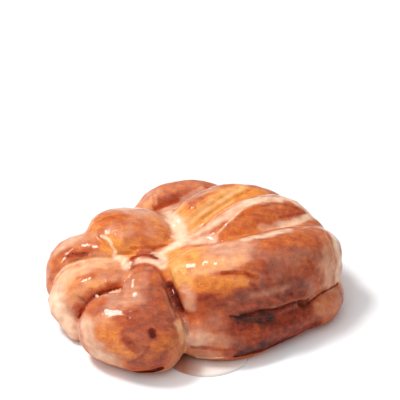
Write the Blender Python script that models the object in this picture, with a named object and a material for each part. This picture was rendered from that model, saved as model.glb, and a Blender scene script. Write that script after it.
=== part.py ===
"""A glazed apple fritter: one piece of fried dough, lobed by the clumps that fused in the fat, with glaze at its foot.

Z is up and the table is z = 0. The origin is below the middle of the fritter, and its lowest, widest side faces -Y.
The dough is modelled as its clumps: each is a plump sausage of dough along a bent spine. They are fused into one
body, softened where they meet, pressed in along the folds and cut flat where the fritter rests. The puddle is the
glaze that ran down between two clumps and set on the table, cut round the dough that it touches.
"""

import math

import bmesh
import bpy
import numpy as np
from mathutils import Matrix, Vector

MM = 0.001

# Driving dimensions, in millimetres
SEGMENTS = 28
RINGS = 22
PLUMPNESS = 2.6
FUSE_VOXEL = 0.9
SOFTEN_STEPS = 6
FOLD_SOFTEN_STEPS = 3
SOFTEN_LOSS = 0.6
DOUGH_TRIANGLES = 8600
REST_SNAP = 0.3
TOUCH_GAP = 0.35
MIDDLE = (-0.1, 0.85)

# Clumps of dough: how tall each is for its width, then its spine as x, y, z and radius
CLUMPS = {
    # What the others sit on, mostly hidden
    "sole": (0.45, [(-22, 6, 4, 22), (2, 4, 4, 28), (25, 3, 4, 24)]),
    "core": (0.9, [(-22, -6, 12, 14), (0, 1, 13.5, 16.5), (26, 5, 15, 17)]),
    "core_back": (0.9, [(-24, 12, 13, 14), (-2, 22, 13, 15), (24, 20, 14, 15)]),
    "centre_fill": (1.0, [(-30, -1, 15, 7.5), (-23, -2, 16, 8.5), (-13, 3.5, 15.5, 8.5)]),
    # The big ridge along the front, its broad top and its blunt left face
    "front_ridge": (1.0, [(0.5, -15, 22, 14.2), (16, -15, 23.3, 15), (32, -9, 23.5, 15), (44.5, 0, 22, 14.6)]),
    "front_plate": (1.0, [(-1, -8.5, 21, 11), (13, -8, 21.8, 11), (26, -2.5, 22, 11), (38, 5, 21.3, 10.5)]),
    "front_face": (1.0, [(1, -20, 16, 13.5), (10, -21, 15, 12.5)]),
    # The two ridges behind it
    "middle_ridge": (
        1.0,
        [(4, 4.5, 22.5, 8), (16, 11, 26, 10.8), (26, 16, 26.3, 11.5), (34, 18, 25.2, 11.7), (43, 14, 22.3, 11)],
    ),
    "back_ridge": (
        1.0,
        [(-4, 18, 23, 8.5), (2, 22, 25, 9.5), (10.5, 27.5, 25.5, 9.5), (19, 31, 24.5, 9.5), (29, 32, 22, 10)],
    ),
    # The round clumps on the left
    "knob": (0.78, [(-28, 13, 20.5, 15.6), (-24, 13, 20.2, 15.6)]),
    "left_finger": (1.0, [(-35, 4, 20, 8.5), (-43, 7, 17.5, 9), (-49.5, 4, 15.5, 9.3), (-51.3, -2, 12.5, 9)]),
    "left_thumb": (
        0.78,
        [(-29, -9, 18.5, 8.2), (-36, -10, 17.2, 10), (-43, -10.5, 15, 10.8), (-48, -13.5, 12, 10), (-46, -19.5, 7, 8)],
    ),
    "front_knob": (0.97, [(-30, -31.8, 12.4, 13.9), (-18.5, -35.5, 12.2, 14.8)]),
    "knob_ridge": (1.0, [(-21, -26, 18, 11), (-16.5, -16, 20.5, 8.8), (-18, -8, 21.5, 7)]),
    "ridge_tip": (1.0, [(-23, -6, 22, 4.5), (-18.5, -4, 23.5, 4.5)]),
    "knob_shoulder": (1.0, [(-24.5, -27, 14.5, 10), (-18, -27, 16.5, 11)]),
    # The low clumps at the foot
    "front_foot": (
        1.0,
        [(-1, -29.5, 10.5, 11.5), (10, -30.5, 9, 10.5), (20, -29, 8, 9), (31, -22.5, 8.5, 8.8), (41, -18, 8.5, 8.8)],
    ),
    "right_lobe": (1.0, [(45, -14, 8.5, 9), (49.6, -8, 9, 9.3), (49.5, 3, 9, 9)]),
    "right_side": (1.0, [(43, -5, 17, 12), (47, 1.5, 16, 12)]),
    "back_foot": (1.0, [(-24, 28, 10, 11), (-4, 35, 10, 11), (16, 33, 11, 12), (34, 24, 11, 12)]),
    "back_knuckle": (1.0, [(30, 33, 13, 8), (38, 27, 12, 9)]),
    "back_toe": (1.0, [(-20, 33, 8, 9), (-8, 39, 8, 8.5)]),
    "thumb_foot": (1.0, [(-41, -17, 8, 8.5), (-32, -17, 9.5, 10), (-20, -18, 10, 11)]),
    "left_foot": (1.0, [(-46, 0, 8, 10), (-42, 12, 9, 11), (-30, 20, 10, 11)]),
    "left_skirt": (0.7, [(-46, -8, 3, 5.5), (-43.5, -16, 3, 5.5), (-39, -23.5, 3, 5.5)]),
    # The finger of dough along the back, and the thin lip on the front ridge
    "back_finger": (
        1.0,
        [(-20.5, 37.5, 15.5, 6.5), (-13.5, 42, 18.3, 7.5), (-3, 44, 19.5, 7.5), (6, 43.5, 19, 7.2), (13, 41, 17, 7)],
    ),
    "lip": (
        1.0,
        [(13, -29, 18.5, 2.6), (20, -29.5, 19, 3.8), (29, -26.5, 19.5, 4), (38, -22, 19, 3.4), (45, -17, 18, 2.4)],
    ),
}

# Folds pressed into the fused dough: the side they are on, half width, depth, then the points seen from that side.
# A top fold's points are x and y. A front fold's are x and z.
FOLDS = {
    "back_ridge_outer": ("top", 1.9, 0.8, [(-1, 13), (4, 18.5), (10, 24), (16, 30), (20, 35)]),
    "back_ridge_inner": ("top", 1.8, 0.7, [(9, 17), (13, 21), (18, 26.5), (24, 32)]),
    "lip_slit": ("front", 2.6, 1.9, [(16, 18.5), (23, 18), (31, 17), (39, 17), (46, 18)]),
    "knob_crease": ("front", 3.0, 1.3, [(-15, 15), (-18, 11), (-21, 7), (-25, 3)]),
    "ridge_wrinkle": ("front", 2.6, 0.9, [(10, 33.5), (16, 33.5), (21, 32.5), (25, 31.5)]),
}

# The puddle of set glaze: the middle and half size of its oval, and its edge as shares of reach and of thickness
POOL_AT = (5, -36)
POOL_REACH = (15.3, 10)
POOL_THICKNESS = 1.4
POOL_SIDES = 60
POOL_EDGE = [(1.0, 0.0), (1.02, 0.3), (0.98, 0.75), (0.88, 1.0)]

# Linear colours and roughness
DOUGH_LOOK = ((0.56, 0.20, 0.065), 0.4)
GLAZE_LOOK = ((0.82, 0.70, 0.62), 0.15)


def spine_at(points, share):
    """Catmull-Rom point of a spine, as x, y, z and radius, at a share of its length from 0 to 1."""
    points = np.array(points, float)
    ends = [2 * points[0] - points[1], *points, 2 * points[-1] - points[-2]]
    place = min(max(share, 0.0), 1.0) * (len(points) - 1)
    i = min(int(place), len(points) - 2)
    t = place - i
    a, b, c, d = ends[i : i + 4]
    return 0.5 * (2 * b + (c - a) * t + (2 * a - 5 * b + 4 * c - d) * t**2 + (3 * b - a - 3 * c + d) * t**3)


def tangent_at(points, share):
    """Direction of a spine at a share of its length. Past an end it is the end's own direction."""
    step = 0.02
    middle = min(max(share, step / 2), 1 - step / 2)
    return Vector((spine_at(points, middle + step / 2) - spine_at(points, middle - step / 2))[:3]).normalized()


def add_clump(bm, height, points):
    """Adds one clump: a sphere whose axis is bent along the spine and whose ends stay plump."""
    made = bmesh.ops.create_uvsphere(bm, u_segments=SEGMENTS, v_segments=RINGS, radius=1.0)
    length = sum(math.dist(p[:3], q[:3]) for p, q in zip(points, points[1:]))
    for vert in made["verts"]:
        along = vert.co.z
        girth = (1 - min(1.0, abs(along)) ** PLUMPNESS) ** (1 / PLUMPNESS)
        flat = math.hypot(vert.co.x, vert.co.y)
        aside = (vert.co.x / flat, vert.co.y / flat) if flat > 1e-6 else (0.0, 0.0)
        end_radius = spine_at(points, 0.5 + along / 2)[3] + SOFTEN_LOSS
        share = 0.5 + along * (length / 2 + end_radius) / length
        beyond = (share - min(max(share, 0.0), 1.0)) * length
        here = spine_at(points, share)
        tangent = tangent_at(points, share)
        side = tangent.cross(Vector((0, 0, 1))).normalized()
        up = side.cross(tangent)
        offset = (side * aside[0] + up * aside[1] * height) * girth * (here[3] + SOFTEN_LOSS)
        vert.co = (Vector(here[:3]) + tangent * beyond + offset) * MM


def applied(obj):
    """Turns an object's modifiers into its mesh."""
    graph = bpy.context.evaluated_depsgraph_get()
    mesh = bpy.data.meshes.new_from_object(obj.evaluated_get(graph))
    obj.modifiers.clear()
    obj.data = mesh


def add_softening(obj, steps):
    """Adds a modifier that rounds every edge and crease a little more with each step."""
    soften = obj.modifiers.new("soften", "SMOOTH")
    soften.factor = 0.5
    soften.iterations = steps


def distance_to_path(places, path):
    """Distance of each flat place to a line through the path's points."""
    best = np.full(len(places), np.inf)
    for start, end in zip(path, path[1:]):
        run = end - start
        share = np.clip((places - start) @ run / (run @ run), 0, 1)
        best = np.minimum(best, np.linalg.norm(places - start - share[:, None] * run, axis=1))
    return best


def press_folds(mesh):
    """Presses the folds into the faces that look up, or to the front."""
    count = len(mesh.vertices)
    places = np.empty(count * 3, np.float32)
    normals = np.empty(count * 3, np.float32)
    mesh.vertices.foreach_get("co", places)
    mesh.vertices.foreach_get("normal", normals)
    places = places.reshape(-1, 3) / MM
    normals = normals.reshape(-1, 3)
    for side, half_width, depth, points in FOLDS.values():
        seen = (0, 1) if side == "top" else (0, 2)
        facing = normals[:, 2] if side == "top" else -normals[:, 1]
        near = distance_to_path(places[:, seen], np.array(points, float)) / half_width
        press = depth * np.clip(1 - near**2, 0, 1) ** 2 * np.clip(facing * 3, 0, 1)
        places -= normals * press[:, None]
    mesh.vertices.foreach_set("co", (places * MM).ravel())
    mesh.update()


def keep_outer_body(bm):
    """Leaves only the largest connected body, so that no sealed hollow or loose scrap stays."""
    left = set(bm.verts)
    bodies = []
    while left:
        body = {left.pop()}
        newest = set(body)
        while newest:
            newest = {edge.other_vert(vert) for vert in newest for edge in vert.link_edges} - body
            body |= newest
        left -= body
        bodies.append(body)
    bodies.sort(key=len)
    for body in bodies[:-1]:
        bmesh.ops.delete(bm, geom=list(body), context="VERTS")


def rest_flat(mesh):
    """Cuts the dough at the table and closes the cut with flat faces."""
    bm = bmesh.new()
    bm.from_mesh(mesh)
    for vert in bm.verts:
        if abs(vert.co.z) < REST_SNAP * MM:
            vert.co.z = 0
    geometry = bm.verts[:] + bm.edges[:] + bm.faces[:]
    bmesh.ops.bisect_plane(bm, geom=geometry, dist=1e-6, plane_co=(0, 0, 0), plane_no=(0, 0, -1), clear_outer=True)
    keep_outer_body(bm)
    bmesh.ops.holes_fill(bm, edges=[edge for edge in bm.edges if edge.is_boundary])
    bmesh.ops.triangulate(bm, faces=bm.faces[:])
    bmesh.ops.recalc_face_normals(bm, faces=bm.faces[:])
    bm.to_mesh(mesh)
    bm.free()


def finish_object(obj, look):
    """Gives an object its own material, smooth shading and its place round the origin."""
    colour, roughness = look
    material = bpy.data.materials.new(obj.name)
    material.use_nodes = True
    shader = material.node_tree.nodes["Principled BSDF"]
    shader.inputs["Base Color"].default_value = (*colour, 1)
    shader.inputs["Roughness"].default_value = roughness
    shader.inputs["Metallic"].default_value = 0
    obj.data.materials.clear()
    obj.data.materials.append(material)
    obj.data.shade_smooth()
    obj.data.transform(Matrix.Translation((-MIDDLE[0] * MM, -MIDDLE[1] * MM, 0)))


def linked(name, bm):
    """Makes an object of a bmesh and adds it to the scene."""
    mesh = bpy.data.meshes.new(name)
    bm.to_mesh(mesh)
    bm.free()
    obj = bpy.data.objects.new(name, mesh)
    bpy.context.collection.objects.link(obj)
    return obj


def make_dough():
    """The dough: its clumps fused, softened, folded, thinned to few faces and cut flat."""
    bm = bmesh.new()
    for height, points in CLUMPS.values():
        add_clump(bm, height, points)
    dough = linked("fritter", bm)
    fuse = dough.modifiers.new("fuse", "REMESH")
    fuse.mode = "VOXEL"
    fuse.voxel_size = FUSE_VOXEL * MM
    add_softening(dough, SOFTEN_STEPS)
    applied(dough)
    press_folds(dough.data)
    add_softening(dough, FOLD_SOFTEN_STEPS)
    thin = dough.modifiers.new("thin", "DECIMATE")
    above = sum(face.center.z > 0 for face in dough.data.polygons)
    thin.ratio = DOUGH_TRIANGLES / (2 * above)
    applied(dough)
    rest_flat(dough.data)
    return dough


def add_sheet(bm):
    """Adds the puddle before it is cut: a flat oval with a round edge."""
    loops = []
    for share, lift in POOL_EDGE:
        loop = []
        for i in range(POOL_SIDES):
            turn = 2 * math.pi * i / POOL_SIDES
            x = POOL_AT[0] + POOL_REACH[0] * share * math.cos(turn)
            y = POOL_AT[1] + POOL_REACH[1] * share * math.sin(turn)
            loop.append(bm.verts.new((x * MM, y * MM, lift * POOL_THICKNESS * MM)))
        loops.append(loop)
    for lower, upper in zip(loops, loops[1:]):
        for i in range(POOL_SIDES):
            j = (i + 1) % POOL_SIDES
            bm.faces.new((lower[i], lower[j], upper[j], upper[i]))
    bm.faces.new(loops[-1])
    bm.faces.new(loops[0][::-1])


def make_pool(dough):
    """The puddle: cut round the dough with a small gap."""
    bm = bmesh.new()
    add_sheet(bm)
    pool = linked("glaze_pool", bm)
    cutter = bpy.data.objects.new("pool_cutter", dough.data.copy())
    bpy.context.collection.objects.link(cutter)
    cutter.hide_render = True
    cutter.display_type = "WIRE"
    swell = cutter.modifiers.new("swell", "DISPLACE")
    swell.strength = TOUCH_GAP * MM
    swell.mid_level = 0
    cut = pool.modifiers.new("cut", "BOOLEAN")
    cut.operation = "DIFFERENCE"
    cut.object = cutter
    applied(pool)
    bpy.data.objects.remove(cutter)
    bm = bmesh.new()
    bm.from_mesh(pool.data)
    keep_outer_body(bm)
    bmesh.ops.triangulate(bm, faces=bm.faces[:])
    bm.to_mesh(pool.data)
    bm.free()
    return pool


def build():
    """Clears the scene, then makes the dough and its puddle."""
    for obj in list(bpy.data.objects):
        bpy.data.objects.remove(obj)
    dough = make_dough()
    pool = make_pool(dough)
    finish_object(dough, DOUGH_LOOK)
    finish_object(pool, GLAZE_LOOK)


build()
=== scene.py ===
"""The looks of a glazed apple fritter: folded, browned dough under sugar glaze, and a puddle of glaze.

The dough is made again from the clumps of the part's source, on a finer mesh, which then takes the low relief
of the crust and the glaze that fills its valleys. Sizes are in millimetres until a mesh is made. A place that
is called a pixel is counted from the top left corner of the photograph, which is 400 pixels wide and high.
"""

import itertools
import math

import bmesh
import bpy
import numpy as np
from mathutils import Matrix, Vector
from mathutils.bvhtree import BVHTree

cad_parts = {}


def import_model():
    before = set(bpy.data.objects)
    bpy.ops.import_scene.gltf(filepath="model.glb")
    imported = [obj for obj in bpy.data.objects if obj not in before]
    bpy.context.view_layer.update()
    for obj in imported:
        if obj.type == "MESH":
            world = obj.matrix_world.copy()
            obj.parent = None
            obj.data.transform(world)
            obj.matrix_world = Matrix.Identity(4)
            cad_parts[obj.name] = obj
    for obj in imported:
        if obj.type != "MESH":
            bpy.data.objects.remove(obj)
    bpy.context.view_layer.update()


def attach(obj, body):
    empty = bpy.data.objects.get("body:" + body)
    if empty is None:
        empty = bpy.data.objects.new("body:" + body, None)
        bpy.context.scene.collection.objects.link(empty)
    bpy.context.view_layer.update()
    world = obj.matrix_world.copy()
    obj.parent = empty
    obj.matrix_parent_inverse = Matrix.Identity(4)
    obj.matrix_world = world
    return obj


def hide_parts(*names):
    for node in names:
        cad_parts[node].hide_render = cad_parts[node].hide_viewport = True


MM = 0.001

# The photograph's camera: its place, what it is aimed at, its lens and its picture
CAMERA_AT = (0, -512.9, 420.2)
CAMERA_AIM = (2.4, 14.6, 39.5)
LENS = 146.1
SENSOR = 36
PICTURE = 400

# A clump of dough: its faces round and along, and how full its ends are
SEGMENTS = 40
RINGS = 30
PLUMPNESS = 2.6
# The dough's mesh: the voxel that fuses the clumps, how often joins are softened, and what that takes off
FUSE_VOXEL = 0.56
SOFTEN_STEPS = 5
SOFTEN_LOSS = 0.6
# The middle of the clumps, seen from above, which is moved to the origin
MIDDLE = (-0.1, 0.85)

# Clumps of dough, as in the part's source: height for width, then the spine as x, y, z and radius
CLUMPS = {
    "sole": (0.45, [(-22, 6, 4, 22), (2, 4, 4, 28), (25, 3, 4, 24)]),
    "core": (0.9, [(-22, -6, 12, 14), (0, 1, 13.5, 16.5), (26, 5, 15, 17)]),
    "core_back": (0.9, [(-24, 12, 13, 14), (-2, 22, 13, 15), (24, 20, 14, 15)]),
    "centre_fill": (1.0, [(-30, -1, 15, 7.5), (-23, -2, 16, 8.5), (-13, 3.5, 15.5, 8.5)]),
    "front_ridge": (
        1.0,
        [(0.5, -15, 22, 14.2), (16, -15, 23.3, 15), (32, -9, 23.5, 15), (44.5, 0, 22, 14.6)],
    ),
    "front_plate": (1.0, [(-1, -8.5, 21, 11), (13, -8, 21.8, 11), (26, -2.5, 22, 11), (38, 5, 21.3, 10.5)]),
    "front_face": (1.0, [(1, -20, 16, 13.5), (10, -21, 15, 12.5)]),
    "middle_ridge": (
        1.0,
        [
            (4, 4.5, 22.5, 8),
            (16, 11, 26, 10.8),
            (26, 16, 26.3, 11.5),
            (34, 18, 25.2, 11.7),
            (43, 14, 22.3, 11),
        ],
    ),
    "back_ridge": (
        1.0,
        [(-4, 18, 23, 8.5), (2, 22, 25, 9.5), (10.5, 27.5, 25.5, 9.5), (19, 31, 24.5, 9.5), (29, 32, 22, 10)],
    ),
    "knob": (0.78, [(-28, 13, 20.5, 15.6), (-24, 13, 20.2, 15.6)]),
    "left_finger": (1.0, [(-35, 4, 20, 8.5), (-43, 7, 17.5, 9), (-49.5, 4, 15.5, 9.3), (-51.3, -2, 12.5, 9)]),
    "left_thumb": (
        0.78,
        [
            (-29, -9, 18.5, 8.2),
            (-36, -10, 17.2, 10),
            (-43, -10.5, 15, 10.8),
            (-48, -13.5, 12, 10),
            (-46, -19.5, 7, 8),
        ],
    ),
    "front_knob": (0.97, [(-30, -31.8, 12.4, 13.9), (-18.5, -35.5, 12.2, 14.8)]),
    "knob_ridge": (1.0, [(-21, -26, 18, 11), (-16.5, -16, 20.5, 8.8), (-18, -8, 21.5, 7)]),
    "ridge_tip": (1.0, [(-23, -6, 22, 4.5), (-18.5, -4, 23.5, 4.5)]),
    "knob_shoulder": (1.0, [(-24.5, -27, 14.5, 10), (-18, -27, 16.5, 11)]),
    "front_foot": (
        1.0,
        [
            (-1, -29.5, 10.5, 11.5),
            (10, -30.5, 9, 10.5),
            (20, -29, 8, 9),
            (31, -22.5, 8.5, 8.8),
            (41, -18, 8.5, 8.8),
        ],
    ),
    "right_lobe": (1.0, [(45, -14, 8.5, 9), (49.6, -8, 9, 9.3), (49.5, 3, 9, 9)]),
    "right_side": (1.0, [(43, -5, 17, 12), (47, 1.5, 16, 12)]),
    "back_foot": (1.0, [(-24, 28, 10, 11), (-4, 35, 10, 11), (16, 33, 11, 12), (34, 24, 11, 12)]),
    "back_knuckle": (1.0, [(30, 33, 13, 8), (38, 27, 12, 9)]),
    "back_toe": (1.0, [(-20, 33, 8, 9), (-8, 39, 8, 8.5)]),
    "thumb_foot": (1.0, [(-41, -17, 8, 8.5), (-32, -17, 9.5, 10), (-20, -18, 10, 11)]),
    "left_foot": (1.0, [(-46, 0, 8, 10), (-42, 12, 9, 11), (-30, 20, 10, 11)]),
    "left_skirt": (0.7, [(-46, -8, 3, 5.5), (-43.5, -16, 3, 5.5), (-39, -23.5, 3, 5.5)]),
    "back_finger": (
        1.0,
        [
            (-20.5, 37.5, 15.5, 6.5),
            (-13.5, 42, 18.3, 7.5),
            (-3, 44, 19.5, 7.5),
            (6, 43.5, 19, 7.2),
            (13, 41, 17, 7),
        ],
    ),
    "lip": (
        1.0,
        [
            (13, -29, 18.5, 2.6),
            (20, -29.5, 19, 3.8),
            (29, -26.5, 19.5, 4),
            (38, -22, 19, 3.4),
            (45, -17, 18, 2.4),
        ],
    ),
}

# Relief on the dough: half width, height (a fold's is below 0), then its points as pixels of the photograph.
# Beads are drops of glaze that catch the light.
RELIEF = {
    "knob_finger_crease": (2.0, -1.2, [(92, 231), (98, 238), (106, 246), (113, 251)]),
    "finger_thumb_crease": (1.8, -1.2, [(112, 259), (97, 258), (80, 261), (66, 266), (56, 273), (51, 283)]),
    "thumb_knob_crease": (
        2.2, -1.4,
        [(122, 289), (114, 291), (102, 294), (92, 300), (84, 309), (79, 318), (78, 330)],
    ),
    "knob_ridge_crease": (2.8, -2.0, [(166, 272), (170, 284), (176, 300), (183, 316), (187, 332)]),
    "knob_centre_crease": (1.6, -1.2, [(118, 256), (135, 254), (150, 251), (163, 249)]),
    "tip_crease": (1.4, -1.0, [(133, 262), (140, 260), (150, 261), (157, 264)]),
    "back_groove_outer": (1.6, -1.0, [(186, 224), (200, 212), (215, 203), (228, 194), (240, 188)]),
    "back_groove_inner": (1.6, -0.9, [(204, 219), (221, 207), (235, 198), (250, 190)]),
    "ridge_wrinkle": (2.0, -0.8, [(216, 274), (235, 275), (250, 279), (259, 282)]),
    "lip_slit": (2.4, -2.4, [(243, 317), (260, 312), (276, 312), (292, 306), (306, 303)]),
    "right_lobe_crease": (1.8, -1.3, [(338, 284), (330, 289), (320, 294), (309, 302)]),
    "bead_thumb": (2.2, 0.23, [(93, 276), (92, 278)]),
    "bead_thumb_low": (1.6, 0.18, [(80, 283), (81, 284)]),
    "bead_ridge": (2.2, 0.9, [(149, 285), (149, 292)]),
    "bead_front": (1.8, 0.12, [(207, 261), (208, 263)]),
    "bead_front_right": (1.8, 0.18, [(218, 262), (218, 263)]),
    "bead_knob_low": (3.0, 0.7, [(126, 238), (124, 241)]),
    "bead_front_left": (3.0, 0.6, [(174, 264), (175, 273)]),
    "bead_thumb_right": (2.0, 0.6, [(106, 282.5), (117, 280)]),
}

# Broken lumps of the crust: their size and height
LUMPS = [(9.0, 0.35), (4.2, 0.2), (2.0, 0.09)]
# How high above the table the relief is whole
RELIEF_FOOT = 3
# The seed of everything uneven
SEED = 7

# Colours of fried crust as it browns, from pale dough to burnt sugar; the dark end also paints shade
BROWNING = [
    (0.0, "#E6AE68"),
    (0.15, "#E19C48"),
    (0.3, "#DC842A"),
    (0.45, "#C8651F"),
    (0.6, "#AE491B"),
    (0.72, "#963517"),
    (0.85, "#741F0F"),
    (1.0, "#2C0E0A"),
]
# Milky glaze over the crust, the puddle where dough ran into it and lies in painted shade, and where it is
# clean, and the floor
MILKY_GLAZE = "#F4D1B1"
BROWN_SHADED_PUDDLE = "#B9816B"
WHITE_PUDDLE = "#EBDFD8"
WHITE_BOARD = "#FBFCFD"
# How wide the lumps of each pattern are: four of the crust, then three of the glaze on it
MOTTLE_WIDTH = 2.5
GRAIN_WIDTH = 0.588
SPECK_WIDTH = 1
STREAK_WIDTH = 1.613
DRYING_WIDTH = 3.333
WAVE_WIDTH = 3.846
WRINKLE_WIDTH = 2.083
# How strong the grain is beside the mottling
GRAIN = 0.45
# How far the streaks are turned, in radians, and the scale that draws them out lengthwise
STREAK_TURN = (0, 0, -0.45)
STREAK_SCALE = (0.3, 1, 1)
# Kinds of crust: how browned each is, and how milky the glaze on it is; the darkest also paint shade
CRUST = {
    "cream": (0.2, 0.8),
    "milky": (0.62, 0.82),
    "blush": (0.54, 0.48),
    "straw": (0.03, 0.2),
    "gold": (0.14, 0.12),
    "orange": (0.26, 0.05),
    "honey": (0.32, 0.1),
    "amber": (0.37, 0.04),
    "peach": (0.26, 0.5),
    "salmon": (0.42, 0.4),
    "rose": (0.56, 0.26),
    "rust": (0.53, 0.02),
    "copper": (0.45, 0.05),
    "brick": (0.65, 0.01),
    "ember": (0.79, 0.0),
    "umber": (0.8, 0.08),
    "mauve": (0.73, 0.2),
    "lilac": (0.68, 0.34),
    "plum": (0.85, 0.15),
    # Burnt crust, and painted shade in creases and along undersides
    "char_and_shade": (0.95, 0.0),
}
# The crust where no patch is: the least and the most browned, then the size and strength of its mottling
CRUST_RANGE = (0.34, 0.82)
MOTTLE_WIDE = (13, 0.4)
MOTTLE_FINE = (6, 0.3)
# How deep a valley is where glaze starts to pool in it and where it is full, and how far it is eased to tell
VALLEY_DEPTH = (0.1, 0.9)
VALLEY_STEPS = 60
# How milky the glaze is in a valley, and how much less browned the crust is under it
VALLEY_MILK = 0.8
VALLEY_PALE = 0.2
# Hazy zones of the glaze: their size, where in the field they start and are full, and how milky they are
HAZE_SIZE = 15
HAZE_EDGE = (-0.2, 0.7)
HAZE_MILK = 0.5
# How far up a surface faces, as its normal's height, where no glaze stays on it and where the whole coat does
WET = (-0.5, 0.05)
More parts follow.
